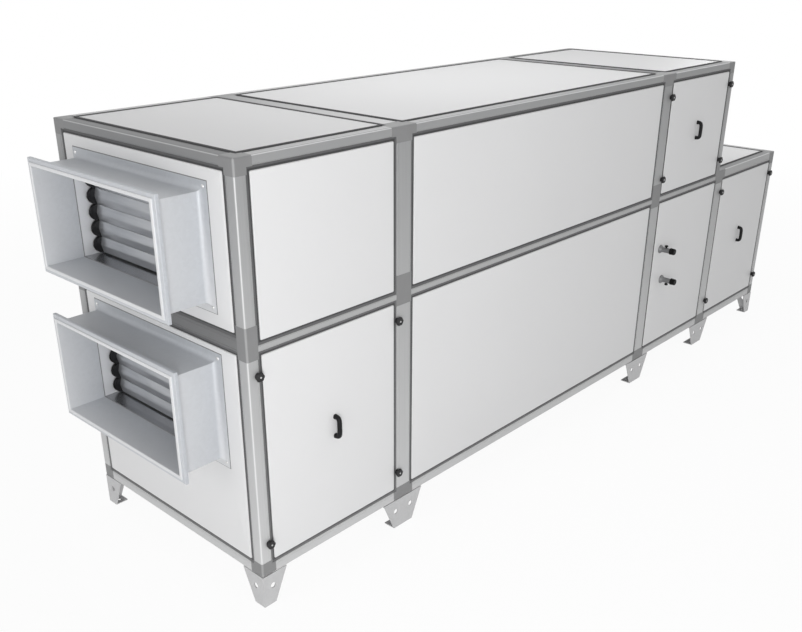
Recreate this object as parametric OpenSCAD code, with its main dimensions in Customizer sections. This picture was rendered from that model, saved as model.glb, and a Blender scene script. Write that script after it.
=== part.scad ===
// Two-tier air handling unit: a metal frame filled with insulated panels,
// carried on folded feet, with two louvre dampers in duct spigots at one end.
// In the casing's own frame, X runs from the duct end, Y from the service side
// and Z from the floor. place() then puts the origin under the middle.

/* [Sections] */
// Section 1: from the duct end to the middle of the first mullion
section_1_l = 742; // [640:1:900]
// Section 2: from the first mullion to the second, middle to middle
section_2_l = 1898; // [1500:1:2200]
// Section 3: from the second mullion to the third, middle to middle
section_3_l = 730; // [620:1:900]
// Section 4: from the middle of the third mullion to the far end
section_4_l = 742; // [640:1:900]
// How far the upper tier stops short of the third mullion's middle
upper_setback = 8; // [4:1:20]
// Depth of the casing from the service side to the back
casing_w = 1050; // [960:1:1200]
// Height of the lower tier's frame above the feet
lower_h = 917; // [880:1:1000]
// Height of the whole frame above the feet
casing_h = 1503; // [1480:1:1700]

/* [Frame] */
// Width and depth of the corner posts and edge rails
post_w = 48; // [44:1:54]
// Face width of the mullions
mullion_w = 81; // [72:1:92]
// Face height of the rail between the two tiers, on the service side and the back
mid_rail_h = 26; // [22:1:34]
// Face height of the rail between the two tiers at the ends
end_rail_h = 52; // [44:1:60]
// Face height of the bottom rails
base_rail_h = 44; // [40:1:54]
// Face height of the rails round the upper roof
top_rail_h = 34; // [30:1:48]
// Rounding of the casing's outer edges
edge_r = 8; // [4:1:12]
// Length of a corner piece's arms along the rails and posts
corner_arm = 23; // [15:1:35]
// Length of the arms of the corner pieces on the feet
base_arm = 15; // [10:1:35]
// Length of the upright arm above a corner piece at mid height
mid_arm = 70; // [50:1:90]

/* [Panels] */
// Thickness of the insulated panels
panel_t = 48; // [40:1:52]
// Width of the seal between a panel and the frame
seal_w = 13; // [9:1:16]
// Depth of the seal below the panel's face
seal_depth = 5; // [2:1:10]
// Thickness of the seal from front to back
seal_t = 34; // [24:1:38]
// Clearance between a panel and its seal
panel_fit = 0.2; // [0.1:0.05:0.5]

/* [Doors] */
// Diameter of a clamp knob
knob_d = 35; // [28:1:46]
// Height of a clamp knob
knob_h = 20; // [14:1:26]
// Diameter of the knob's neck
neck_d = 20; // [14:1:26]
// Height of the knob's neck
neck_h = 6; // [4:1:10]
// From a door's edge at the duct end's side out to the knobs' axes
knob_out = 24; // [14:1:30]
// From a door's other edge out to the knobs' axes
far_knob_out = 16; // [12:1:26]
// From the door's top edge down to the upper knobs' axes
knob_drop = 66; // [50:1:110]
// From the door's bottom edge up to the lower knobs' axes
knob_rise = 78; // [50:1:110]
// Height of a lower door's handle above the door's middle
handle_rise = 17; // [0:1:30]
// Height of the upper door's handle above the door's middle
upper_handle_rise = 8; // [0:1:30]
// Length of a pull handle
handle_l = 97; // [90:1:150]
// How far the handle stands off the door
handle_out = 32; // [28:1:50]
// Width of the handle's strap
handle_w = 18; // [12:1:26]
// Thickness of the handle's grip
grip_t = 13; // [9:1:16]
// Length of the handle's legs on the door
leg_l = 17; // [12:1:24]

/* [Coil connections] */
// Upper pipe: from the second mullion's middle
upper_pipe_x = 115; // [90:1:200]
// Upper pipe: height above the feet
upper_pipe_z = 600; // [500:1:700]
// Lower pipe: from the second mullion's middle
lower_pipe_x = 165; // [90:1:250]
// Lower pipe: height above the feet
lower_pipe_z = 420; // [300:1:450]
// Diameter of the pipes
pipe_d = 27; // [22:0.5:30]
// Bare length of the pipes
pipe_l = 58; // [48:1:70]
// Diameter of the rosette round a pipe
rosette_d = 46; // [38:1:60]
// Thickness of the rosette
rosette_t = 9; // [5:1:14]
// Diameter of the end caps
cap_d = 35; // [31:0.5:40]
// Length of the end caps
cap_l = 27; // [20:1:45]
// Diameter of the vent and drain plugs
plug_d = 15; // [8:0.5:18]
// Length of the vent and drain plugs
plug_l = 13; // [6:1:18]
// From the panel to the plug's axis
plug_y = 34; // [26:1:38]
// Clearance between a plug and its pipe
plug_fit = 0.05; // [0.05:0.05:0.3]

/* [Feet] */
// Height of the feet
foot_h = 130; // [110:1:160]
// Half width of a foot's plate where it meets the frame
foot_top = 112; // [90:1:130]
// Half width of a foot's plate at the floor
foot_tip = 54; // [44:1:70]
// Thickness of the foot's plate
foot_t = 4; // [3:0.5:6]
// Depth of the tab on the floor
tab_l = 54; // [44:1:70]
// Diameter of the holes in the foot's upright plate
foot_hole_d = 22; // [12:1:26]
// From the foot's middle or corner to those holes
foot_hole_x = 44; // [36:1:52]
// From the frame down to those holes
foot_hole_drop = 52; // [44:1:64]
// Diameter of the floor anchor holes
anchor_d = 14; // [10:1:18]

/* [Spigots] */
// Clear width of a spigot
spigot_w = 720; // [600:1:760]
// Clear height of a spigot
spigot_h = 361; // [340:1:370]
// How far a spigot stands out of the casing
spigot_l = 185; // [130:1:240]
// Thickness of the spigot's sheet metal
sheet_t = 2; // [1.5:0.1:3]
// Width of the front flange, from the clear opening
flange_w = 27; // [20:1:35]
// Depth of the front flange's folded edge
flange_fold = 12; // [8:1:20]
// Width of the flange on the panel, from the clear opening
base_flange_w = 36; // [28:1:42]
// From the casing's centre line to the spigots' centre line
spigot_shift = 10; // [-10:1:15]
// Height of the upper spigot's middle above the middle of its panel
upper_spigot_z = 2; // [-10:1:20]
// Height of the lower spigot's middle above the middle of its panel
lower_spigot_z = 162; // [40:0.5:170]

/* [Dampers] */
// From blade axis to blade axis
blade_pitch = 61; // [60:0.1:63.5]
// Thickness of a blade at its middle
blade_t = 16; // [12:0.5:20]
// Thickness of a blade at its edges
blade_edge_t = 3; // [2:0.5:5]
// Gap between closed blades
blade_gap = 5.8; // [5:0.1:8]
// From the casing's end face in to the blade axes
blade_x = 33; // [30:1:38]
// How far the damper frame reaches out into the spigot
damper_out = 33; // [30:1:60]
// How far the damper frame reaches into the casing
damper_in = 75; // [70:1:100]
// Thickness of the damper frame
damper_t = 2.5; // [2:0.1:4]
// Gap between the turning pieces and the damper frame
turn_gap = 5; // [5:0.5:8]
// Width of a gear wheel
gear_w = 18; // [10:1:20]
// Teeth on a gear wheel, a multiple of four
gear_teeth = 40; // [32:4:48]
// Diameter of a blade's pins
pin_d = 12; // [10:0.5:14]
// Running clearance round a pin
pin_play = 0.05; // [0.03:0.01:0.1]
// Clearance between a gear wheel and the pin it sits on
gear_play = 0.3; // [0.1:0.05:0.5]
// Diameter of a pin's bush
bush_d = 20; // [18:0.5:24]
// Length of a pin's bush inside the damper frame
bush_l = 4; // [2:0.5:4.5]

/* [Hidden] */
$fn = 64;
BLADES = 5;
// How far a cut runs past the face that it cuts
cut = 1;

// Stations along the casing: the two ends and the mullions between them
mullion_x = [0, section_1_l, section_1_l + section_2_l, section_1_l + section_2_l + section_3_l];
casing_l = mullion_x[3] + section_4_l;
upper_l = mullion_x[3] - upper_setback;
function left_of(i) = i == 0 ? 0 : i == 4 ? casing_l - post_w : mullion_x[i] - mullion_w / 2;
function right_of(i) = i == 0 ? post_w : i == 4 ? casing_l : mullion_x[i] + mullion_w / 2;
function upper_left_of(i) = i == 3 ? upper_l - post_w : left_of(i);
function upper_right_of(i) = i == 3 ? upper_l : right_of(i);

// Levels above the floor
base_z = foot_h;
base_top_z = base_z + base_rail_h;
mid_z = base_z + lower_h - post_w;
mid_top_z = mid_z + mid_rail_h;
mid_end_z = mid_z + end_rail_h;
lower_top_z = base_z + lower_h;
top_z = base_z + casing_h;
top_rail_z = top_z - top_rail_h;

// Reach of the front fittings, and the origin under the middle of it all
pipe_reach = pipe_l + cap_l;
middle = [(casing_l - spigot_l) / 2, (casing_w - pipe_reach) / 2, 0];

// Panels as boxes: each is a pair of corners, clear of the frame by the seal
inner_y0 = post_w + seal_w;
inner_y1 = casing_w - inner_y0;
lower_z0 = base_top_z + seal_w;
lower_z1 = mid_z - seal_w;
upper_z0 = mid_top_z + seal_w;
upper_end_z0 = mid_end_z + seal_w;
upper_z1 = top_rail_z - seal_w;
function lower_front(i) = [[right_of(i) + seal_w, 0, lower_z0],
                           [left_of(i + 1) - seal_w, panel_t, lower_z1]];
function upper_front(i) = [[upper_right_of(i) + seal_w, 0, upper_z0],
                           [upper_left_of(i + 1) - seal_w, panel_t, upper_z1]];
function to_back(b) = [[b[0].x, casing_w - b[1].y, b[0].z], [b[1].x, casing_w - b[0].y, b[1].z]];
function upper_roof(i) = [[upper_right_of(i) + seal_w, inner_y0, top_z - panel_t],
                          [upper_left_of(i + 1) - seal_w, inner_y1, top_z]];
function floor_box(i) = [[right_of(i) + seal_w, inner_y0, base_z],
                         [left_of(i + 1) - seal_w, inner_y1, base_z + panel_t]];
low_roof = [[right_of(3) + seal_w, inner_y0, lower_top_z - panel_t],
            [left_of(4) - seal_w, inner_y1, lower_top_z]];
fronts = concat([for (i = [0 : 3]) lower_front(i)], [for (i = [0 : 2]) upper_front(i)]);
backs = [for (b = fronts) to_back(b)];
roofs = concat([for (i = [0 : 2]) upper_roof(i)], [low_roof]);
floors = [for (i = [0 : 3]) floor_box(i)];
duct_ends = [[[0, inner_y0, lower_z0], [panel_t, inner_y1, lower_z1]],
             [[0, inner_y0, upper_end_z0], [panel_t, inner_y1, upper_z1]]];
far_ends = [[[casing_l - panel_t, inner_y0, lower_z0], [casing_l, inner_y1, lower_z1]],
            [[upper_l - panel_t, inner_y0, upper_end_z0], [upper_l, inner_y1, upper_z1]]];
doors = [lower_front(0), upper_front(2), lower_front(3)];
handle_rises = [handle_rise, upper_handle_rise, handle_rise];

// Coil pipes: place along the casing, height, and which way the plug points
pipes = [[mullion_x[2] + lower_pipe_x, base_z + lower_pipe_z, -1],
         [mullion_x[2] + upper_pipe_x, base_z + upper_pipe_z, 1]];

// Holes in the feet: height of those in the upright plates, and the anchors' places on the tabs
foot_hole_z = foot_h - foot_hole_drop;
corner_anchor = (foot_tip + foot_t) / 2;
side_anchor = (tab_l + foot_t) / 2;

// Spigots and dampers
spigot_y = casing_w / 2 + spigot_shift;
spigot_zs = [(lower_z0 + lower_z1) / 2 + lower_spigot_z,
             (upper_end_z0 + upper_z1) / 2 + upper_spigot_z];
// Gear teeth: height over and depth under the pitch circle, and half widths as shares of a tooth's step
tooth_top = 1.3;
tooth_root = 1.7;
tooth_tip_half = 0.11;
tooth_root_half = 0.30;
gear_r = blade_pitch / 2 + tooth_top;
blade_chord = blade_pitch - blade_gap;
damper_half_w = spigot_w / 2 - damper_t;
damper_half_h = spigot_h / 2 - damper_t;
function blade_z(spigot_z, k) = spigot_z - damper_half_h + turn_gap + gear_r + (k - 1) * blade_pitch;
near_y = spigot_y - damper_half_w;
far_y = spigot_y + damper_half_w;
gear_y = far_y - turn_gap - gear_w;

panel_white = [0.91, 0.91, 0.91];
profile_grey = [0.62, 0.63, 0.64];
corner_grey = [0.50, 0.50, 0.51];
seal_grey = [0.28, 0.28, 0.29];
zinc_grey = [0.70, 0.72, 0.74];
fitting_black = [0.08, 0.08, 0.08];

module place() {
    translate(-middle) children();
}

module box(b) {
    translate(b[0]) cube(b[1] - b[0]);
}

module block(x0, x1, y0, y1, z0, z1) {
    box([[x0, y0, z0], [x1, y1, z1]]);
}

module flip(x = 0, y = 0, z = 0) {
    mirror([x, 0, 0]) mirror([0, y, 0]) mirror([0, 0, z]) children();
}

// The sliver between a square corner at the origin and its rounding
module nick() {
    difference() {
        translate([-cut, -cut]) square(edge_r + cut);
        translate([edge_r, edge_r]) circle(edge_r);
    }
}

module nick_x(x0, x1, y, z, fy, fz) {
    translate([x0, y, z]) flip(y = fy, z = fz) rotate([90, 0, 90]) linear_extrude(x1 - x0) nick();
}

module nick_y(x, z, fx, fz) {
    translate([x, casing_w + cut, z]) flip(x = fx, z = fz) rotate([90, 0, 0])
        linear_extrude(casing_w + 2 * cut) nick();
}

module nick_z(x, y, z0, z1, fx, fy) {
    translate([x, y, z0]) flip(x = fx, y = fy) linear_extrude(z1 - z0) nick();
}

// Everything that rounding takes off the casing's outer edges
module edge_nicks() {
    for (back = [0, 1]) {
        y = back * casing_w;
        nick_x(-cut, upper_l + cut, y, top_z, back, 1);
        nick_x(upper_l, casing_l + cut, y, lower_top_z, back, 1);
        nick_x(-cut, casing_l + cut, y, base_z, back, 0);
        nick_z(0, y, base_z - cut, top_z + cut, 0, back);
        nick_z(upper_l, y, lower_top_z, top_z + cut, 1, back);
        nick_z(casing_l, y, base_z - cut, lower_top_z + cut, 1, back);
    }
    nick_y(0, top_z, 0, 1);
    nick_y(upper_l, top_z, 1, 1);
    nick_y(casing_l, lower_top_z, 1, 1);
    nick_y(0, base_z, 0, 0);
    nick_y(casing_l, base_z, 1, 0);
}

module rounded_frame(shade) {
    color(shade) place() difference() {
        union() children();
        edge_nicks();
    }
}

// A bar of the service side and its twin at the back
module side_bars(x0, x1, z0, z1) {
    for (back = [0, 1]) {
        y = back * (casing_w - post_w);
        block(x0, x1, y, y + post_w, z0, z1);
    }
}

// A bar that runs from the service side to the back between the arms of two corner pieces
module cross_bar(x0, x1, z0, z1, arm = corner_arm) {
    block(x0, x1, post_w + arm, casing_w - post_w - arm, z0, z1);
}

module corner_posts() {
    rounded_frame(profile_grey) {
        for (i = [0, 4])
            side_bars(left_of(i), right_of(i), base_top_z + base_arm, mid_z - corner_arm);
        for (i = [0, 3])
            side_bars(upper_left_of(i), upper_right_of(i), mid_top_z + mid_arm, top_rail_z - corner_arm);
    }
}

module mullions() {
    color(profile_grey) place() {
        for (i = [1 : 3])
            side_bars(left_of(i), right_of(i), base_top_z + base_arm, mid_z - corner_arm);
        for (i = [1 : 2])
            side_bars(left_of(i), right_of(i), mid_top_z + mid_arm, top_rail_z - corner_arm);
    }
}

module bottom_rails() {
    rounded_frame(profile_grey) {
        for (i = [0 : 3])
            side_bars(right_of(i) + base_arm, left_of(i + 1) - base_arm, base_z, base_top_z);
        for (i = [0 : 4])
            cross_bar(left_of(i), right_of(i), base_z, base_top_z, base_arm);
    }
}

module middle_rails() {
    color(profile_grey) place() {
        for (i = [0 : 2])
            side_bars(right_of(i), upper_left_of(i + 1), mid_z, mid_top_z);
        for (x = [0, upper_l - post_w])
            block(x, x + post_w, post_w, casing_w - post_w, mid_z, mid_end_z);
    }
}

module top_rails() {
    rounded_frame(profile_grey) {
        for (i = [0 : 2])
            side_bars(upper_right_of(i) + corner_arm, upper_left_of(i + 1) - corner_arm,
                      top_rail_z, top_z);
        for (i = [0 : 3])
            cross_bar(upper_left_of(i), upper_right_of(i), top_rail_z, top_z);
        side_bars(right_of(3) + corner_arm, left_of(4) - corner_arm, mid_z, lower_top_z);
        cross_bar(upper_l, right_of(3), mid_z, lower_top_z);
        cross_bar(left_of(4), right_of(4), mid_z, lower_top_z);
    }
}

// A corner piece of the service side and its twin: a core with arms to each side
module corner_piece(x0, x1, z0, z1, left = 0, right = 0, up = 0, down = 0, inward = 0) {
    side_bars(x0 - left, x1 + right, z0, z1);
    side_bars(x0, x1, z0 - down, z1 + up);
    block(x0, x1, 0, post_w + inward, z0, z1);
    block(x0, x1, casing_w - post_w - inward, casing_w, z0, z1);
}

module frame_corners() {
    a = corner_arm;
    rounded_frame(corner_grey) {
        for (i = [0 : 4])
            corner_piece(left_of(i), right_of(i), base_z, base_top_z, left = i > 0 ? base_arm : 0,
                         right = i < 4 ? base_arm : 0, up = base_arm, inward = base_arm);
        for (i = [0 : 2])
            corner_piece(left_of(i), right_of(i), mid_z, mid_top_z, up = mid_arm, down = a);
        corner_piece(left_of(3), right_of(3), mid_z, mid_top_z, down = a);
        corner_piece(upper_left_of(3), upper_l, mid_z, mid_top_z, up = mid_arm);
        corner_piece(upper_l, right_of(3), mid_z, lower_top_z, right = a, inward = a);
        corner_piece(left_of(4), right_of(4), mid_z, lower_top_z, left = a, down = a, inward = a);
        for (i = [0 : 3])
            corner_piece(upper_left_of(i), upper_right_of(i), top_rail_z, top_z, left = i > 0 ? a : 0,
                         right = i < 3 ? a : 0, down = a, inward = a);
    }
}

// The seal round a panel: a ring as wide as the gap, set back from the face
module seal(b, axis, outward) {
    across = [for (k = [0 : 2]) k == axis ? 0 : 1];
    along = [for (k = [0 : 2]) k == axis ? 1 : 0];
    hole = panel_fit * across + cut * along;
    low = outward < 0 ? seal_depth : panel_t - seal_depth - seal_t;
    difference() {
        box([b[0] - seal_w * across + low * along,
             b[1] + seal_w * across - (panel_t - low - seal_t) * along]);
        box([b[0] - hole, b[1] + hole]);
    }
}

module panel_seals() {
    color(seal_grey) place() {
        for (b = fronts) seal(b, 1, -1);
        for (b = backs) seal(b, 1, 1);
        for (b = roofs) seal(b, 2, 1);
        for (b = floors) seal(b, 2, -1);
        for (b = duct_ends) seal(b, 0, -1);
        for (b = far_ends) seal(b, 0, 1);
    }
}

module panels(boxes) {
    color(panel_white) place() for (b = boxes) box(b);
}

module duct_end_panels() {
    color(panel_white) place() difference() {
        for (b = duct_ends) box(b);
        for (z = spigot_zs) duct(-cut, panel_t + cut, spigot_w, spigot_h, z);
    }
}

// Place a fitting of the service side: its Z axis points out of the panel
module on_front(x, z) {
    translate([x, 0, z]) rotate([90, 0, 0]) children();
}

// A strap bent to a bridge: its outline seen from the side, with round corners
module handle_outline() {
    gap_l = handle_l - 2 * leg_l;
    corner_r = grip_t;
    difference() {
        translate([-handle_l / 2, 0]) square([handle_l, handle_out]);
        translate([-gap_l / 2, -cut]) square([gap_l, handle_out - grip_t + cut]);
        for (end = [0, 1]) mirror([end, 0]) translate([handle_l / 2 - corner_r, handle_out - corner_r])
            difference() {
                square(corner_r + cut);
                circle(corner_r);
            }
    }
}

module door_handles() {
    color(fitting_black) place() for (i = [0 : 2]) {
        b = doors[i];
        translate([(b[0].x + b[1].x - handle_w) / 2, 0, (b[0].z + b[1].z) / 2 + handle_rises[i]])
            rotate([0, 90, 0]) rotate([0, 0, 180]) linear_extrude(handle_w) handle_outline();
    }
}

module knob() {
    cylinder(d = neck_d, h = neck_h);
    translate([0, 0, neck_h]) cylinder(d = knob_d, h = knob_h - neck_h);
}

module door_knobs() {
    color(fitting_black) place() for (b = doors)
        for (x = [b[0].x - knob_out, b[1].x + far_knob_out], z = [b[0].z + knob_rise, b[1].z - knob_drop])
            on_front(x, z) knob();
}

module coil_pipes() {
    color(zinc_grey) place() for (p = pipes) on_front(p[0], p[1]) {
        cylinder(d = pipe_d, h = pipe_l);
        cylinder(d = rosette_d, h = rosette_t);
    }
}

// End caps, and the small plugs that vent the upper pipe and drain the lower
module coil_pipe_caps() {
    color(fitting_black) place() for (p = pipes) on_front(p[0], p[1]) {
        translate([0, 0, pipe_l]) cylinder(d = cap_d, h = cap_l);
        difference() {
            translate([0, 0, plug_y]) rotate([-90 * p[2], 0, 0])
                cylinder(d = plug_d, h = pipe_d / 2 + plug_l);
            cylinder(d = pipe_d + 2 * plug_fit, h = pipe_reach);
        }
    }
}

// One upright plate of a foot: it narrows from the frame down to the floor
module foot_plate(left, right, holes) {
    rotate([90, 0, 0]) translate([0, 0, -foot_t]) linear_extrude(foot_t) difference() {
        polygon([[left * foot_tip, 0], [right * foot_tip, 0],
                 [right * foot_top, foot_h], [left * foot_top, foot_h]]);
        for (x = holes) translate([x, foot_hole_z]) circle(d = foot_hole_d);
    }
}

// A floor tab or a top flange, drilled for its anchor where it has one
module foot_tab(x0, x1, depth, z, hole) {
    difference() {
        block(x0, x1, 0, depth, z, z + foot_t);
        if (len(hole) > 0) translate([hole[0], hole[1], z - cut])
            cylinder(d = anchor_d, h = foot_t + 2 * cut);
    }
}

module corner_foot() {
    foot_plate(0, 1, [foot_hole_x]);
    mirror([1, -1, 0]) foot_plate(0, 1, [foot_hole_x]);
    foot_tab(0, foot_tip, foot_tip, 0, [corner_anchor, corner_anchor]);
    foot_tab(0, post_w, post_w, foot_h - foot_t, []);
}

module side_foot() {
    foot_plate(-1, 1, [-foot_hole_x, foot_hole_x]);
    foot_tab(-foot_tip, foot_tip, tab_l, 0, [0, side_anchor]);
    foot_tab(-foot_top, foot_top, post_w, foot_h - foot_t, []);
}

module feet() {
    color(zinc_grey) place() for (back = [0, 1]) translate([0, back * casing_w, 0]) flip(y = back) {
        corner_foot();
        translate([casing_l, 0, 0]) flip(x = 1) corner_foot();
        for (i = [1 : 3]) translate([mullion_x[i], 0, 0]) side_foot();
    }
}

// A rectangular block of duct on the spigots' centre line
module duct(x0, x1, w, h, z) {
    translate([x0, spigot_y - w / 2, z - h / 2]) cube([x1 - x0, w, h]);
}

// A rectangular ring of duct: rim wide, its inside larger than the clear opening by 2 * offset
module duct_ring(x0, x1, offset, rim, z) {
    difference() {
        duct(x0, x1, spigot_w + 2 * (offset + rim), spigot_h + 2 * (offset + rim), z);
        duct(x0 - cut, x1 + cut, spigot_w + 2 * offset, spigot_h + 2 * offset, z);
    }
}

module duct_spigots() {
    color(zinc_grey) place() for (z = spigot_zs) {
        duct_ring(-spigot_l, 0, 0, sheet_t, z);
        duct_ring(-spigot_l, sheet_t - spigot_l, 0, flange_w, z);
        duct_ring(-spigot_l, flange_fold - spigot_l, flange_w - sheet_t, sheet_t, z);
        duct_ring(-sheet_t, 0, 0, base_flange_w, z);
    }
}

// The part of a damper that stands still: a frame, bushes and the strip over the top blade
module damper_frames() {
    stop_w = 2 * damper_half_w;
    color(zinc_grey) place() for (z = spigot_zs) {
        stop_z = blade_z(z, BLADES) + gear_r + turn_gap;
        difference() {
            union() {
                duct_ring(-damper_out, damper_in, -damper_t, damper_t, z);
                translate([blade_x - blade_t / 2, near_y, stop_z])
                    cube([blade_t, stop_w, z + damper_half_h - stop_z]);
                for (k = [1 : BLADES]) translate([blade_x, 0, blade_z(z, k)]) rotate([-90, 0, 0]) {
                    translate([0, 0, near_y]) cylinder(d = bush_d, h = bush_l);
                    translate([0, 0, far_y - bush_l]) cylinder(d = bush_d, h = bush_l);
                }
            }
            for (k = [1 : BLADES]) translate([blade_x, near_y - damper_t - cut, blade_z(z, k)])
                rotate([-90, 0, 0])
                    cylinder(d = pin_d + 2 * pin_play, h = stop_w + 2 * (damper_t + cut));
        }
    }
}

// A blade's section: two arcs that meet in blunt edges
module blade_section() {
    half = blade_chord / 2;
    rise = (blade_t - blade_edge_t) / 2;
    arc_r = (half * half + rise * rise) / (2 * rise);
    intersection() {
        translate([blade_t / 2 - arc_r, 0]) circle(arc_r, $fn = 180);
        translate([arc_r - blade_t / 2, 0]) circle(arc_r, $fn = 180);
        square([blade_t, blade_chord], center = true);
    }
}

module blade(spigot_z, k) {
    pin_l = 2 * damper_half_w + 2 * damper_t - 2 * gear_play;
    color(profile_grey) place() translate([blade_x, 0, blade_z(spigot_z, k)]) rotate([-90, 0, 0]) {
        translate([0, 0, near_y + turn_gap])
            linear_extrude(gear_y - near_y - turn_gap - gear_play) blade_section();
        translate([0, 0, near_y - damper_t + gear_play]) cylinder(d = pin_d, h = pin_l);
    }
}

// A gear wheel's outline: short straight-sided teeth with ample backlash
module gear_outline(turned) {
    step = 360 / gear_teeth;
    tip = gear_r;
    root = blade_pitch / 2 - tooth_root;
    corners = [[root, -tooth_root_half], [tip, -tooth_tip_half],
               [tip, tooth_tip_half], [root, tooth_root_half]];
    polygon([for (t = [0 : gear_teeth - 1], c = corners)
        c[0] * [cos(step * (t + turned / 2 + c[1])), sin(step * (t + turned / 2 + c[1]))]]);
}

module gear(spigot_z, k) {
    color(fitting_black) place() translate([blade_x, gear_y, blade_z(spigot_z, k)]) rotate([-90, 0, 0])
        linear_extrude(gear_w) difference() {
            gear_outline(k % 2);
            circle(d = pin_d + 2 * gear_play);
        }
}

corner_posts();
mullions();
bottom_rails();
middle_rails();
top_rails();
frame_corners();
panel_seals();
panels([upper_front(0)]);  // section_1_upper_panel
panels([lower_front(0)]);  // section_1_door
panels([upper_front(1)]);  // section_2_upper_panel
panels([lower_front(1)]);  // section_2_lower_panel
panels([upper_front(2)]);  // section_3_door
panels([lower_front(2)]);  // section_3_coil_panel
panels([lower_front(3)]);  // section_4_door
panels(backs);  // back_panels
panels(roofs);  // roof_panels
panels(floors);  // floor_panels
duct_end_panels();
panels(far_ends);  // far_end_panels
door_handles();
door_knobs();
coil_pipes();
coil_pipe_caps();
feet();
duct_spigots();
damper_frames();
for (k = [1 : BLADES]) {
    blade(spigot_zs[0], k);
    gear(spigot_zs[0], k);
    blade(spigot_zs[1], k);
    gear(spigot_zs[1], k);
}
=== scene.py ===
"""Looks of a two-tier air handling unit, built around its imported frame."""

import math

import bpy
import numpy as np
from bpy.props import FloatProperty, FloatVectorProperty, IntProperty, PointerProperty
from bpy.types import Operator, Panel, PropertyGroup
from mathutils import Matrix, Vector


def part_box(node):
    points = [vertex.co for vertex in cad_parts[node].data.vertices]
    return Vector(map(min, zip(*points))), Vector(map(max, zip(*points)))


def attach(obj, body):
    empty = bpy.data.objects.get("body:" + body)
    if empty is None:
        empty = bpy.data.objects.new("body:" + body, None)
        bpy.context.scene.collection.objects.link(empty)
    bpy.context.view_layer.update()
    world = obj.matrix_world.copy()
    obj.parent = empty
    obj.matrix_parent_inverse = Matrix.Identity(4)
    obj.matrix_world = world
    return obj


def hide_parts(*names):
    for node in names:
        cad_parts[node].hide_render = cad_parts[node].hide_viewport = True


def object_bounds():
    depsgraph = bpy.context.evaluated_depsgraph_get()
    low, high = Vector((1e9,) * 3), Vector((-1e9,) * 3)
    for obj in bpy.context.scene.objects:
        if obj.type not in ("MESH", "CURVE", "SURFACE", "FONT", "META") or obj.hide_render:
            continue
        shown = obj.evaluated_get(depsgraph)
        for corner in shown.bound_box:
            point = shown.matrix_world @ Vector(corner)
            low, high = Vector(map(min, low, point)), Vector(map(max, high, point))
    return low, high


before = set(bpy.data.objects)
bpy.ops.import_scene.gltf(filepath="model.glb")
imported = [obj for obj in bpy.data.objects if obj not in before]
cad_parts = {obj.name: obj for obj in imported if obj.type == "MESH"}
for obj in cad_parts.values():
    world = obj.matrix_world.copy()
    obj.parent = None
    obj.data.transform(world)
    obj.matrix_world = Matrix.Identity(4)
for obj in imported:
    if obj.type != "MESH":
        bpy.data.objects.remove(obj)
cad_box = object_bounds()

bl_info = {
    "name": "Air handling unit",
    "version": (1, 0, 0),
    "blender": (4, 5, 0),
    "location": "View3D > Sidebar > Air unit",
    "description": "Dresses the frame, panels, doors, spigots and dampers of an air handling unit",
    "category": "Object",
}

# Nodes of the frame, by what they are

BARS = ("corner_posts", "mullions", "bottom_rails", "middle_rails", "top_rails")
DUCT_END_PANELS = "duct_end_panels"
PANELS = (
    "section_1_upper_panel", "section_1_door", "section_2_upper_panel", "section_2_lower_panel",
    "section_3_door", "section_3_coil_panel", "section_4_door",
    "back_panels", "roof_panels", "floor_panels", "far_end_panels", DUCT_END_PANELS,
)
TIERS = ("upper", "lower")
BLADES = (1, 2, 3, 4, 5)
CASING = "casing"

# Turned outlines: rows of radius, height and, where there are lobes, the share of their depth

# In shares of the radius and of the height
KNOB_HEAD = (
    (0.62, 0), (0.60, 0.30), (0.72, 0.38, 0.3), (0.93, 0.44, 0.9), (1, 0.55, 1), (1, 0.78, 1),
    (0.94, 0.92, 0.9), (0.80, 0.99, 0.5), (0.60, 1, 0.1), (0.40, 0.96), (0.34, 0.93),
)
KNOB_STUD = ((0.19, 0.90), (0.19, 0.97), (0.16, 1), (0.10, 1.03), (0.03, 1.04))
PLUG_STEM = ((0.70, 0), (0.66, 0.25), (0.66, 0.50))
PLUG_HEAD = ((1.05, 0.45), (1.20, 0.52), (1.20, 0.92), (1.05, 1))
CAP_END = ((0.94, 0.75), (0.92, 0.90), (0.84, 0.975), (0.70, 1), (0.30, 1), (0.26, 0.985))
# In shares of the radius, with the height in metres
CAP_RIM = ((0.86, 0), (0.97, 0.0005), (1, 0.0015), (1, 0.005), (0.955, 0.0065))
ROSETTE = ((1, 0), (1, 0.002), (0.93, 0.005), (0.76, 0.009), (0.66, 0.013))
SCREW_HEAD = ((1, 0), (1, 0.001), (0.85, 0.0026), (0.5, 0.0038), (0.1, 0.0042))
# A pipe's radius as a share of its rosette's
PIPE_SHARE = 0.585

# Fineness and rounding of the surfaces

# Points on the arcs of a profile's outer and other corners, of a panel's edge and of a sheet's bend
OUTER_STEPS, INNER_STEPS, PRESSED_STEPS, BEND_STEPS = 9, 5, 6, 6
HANDLE_STEPS, HANDLE_SIDES, BLADE_STEPS = 49, 20, 25
# Corner rounding of the thin strips and of the spigots' sheet
STRIP_CORNER, SHEET_CORNER = 0.001, 0.0015
# How sharply the painted highlight falls off round an outer corner
HIGHLIGHT_POWER = 10
# Rounding of a blade's ridge as a share of half the chord
RIDGE = 0.10
# Painted highlight on the roof's metal at the duct end, and its fall along the casing to painted shade
ROOF_PAINTED_LIGHT_START, ROOF_PAINTED_LIGHT_FALL = 1.5, 3

# Stage

CAMERA_PLACE = (-3.59993, -2.65677, 2.19271)
CAMERA_DEGREES = (65.640, 0.083, -46.833)
CAMERA_LENS, CAMERA_SENSOR, CAMERA_REACH = 41.259, 36.0, 200
CAMERA_SHIFT_X, CAMERA_SHIFT_Y = 0.0108, 0.0585
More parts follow.
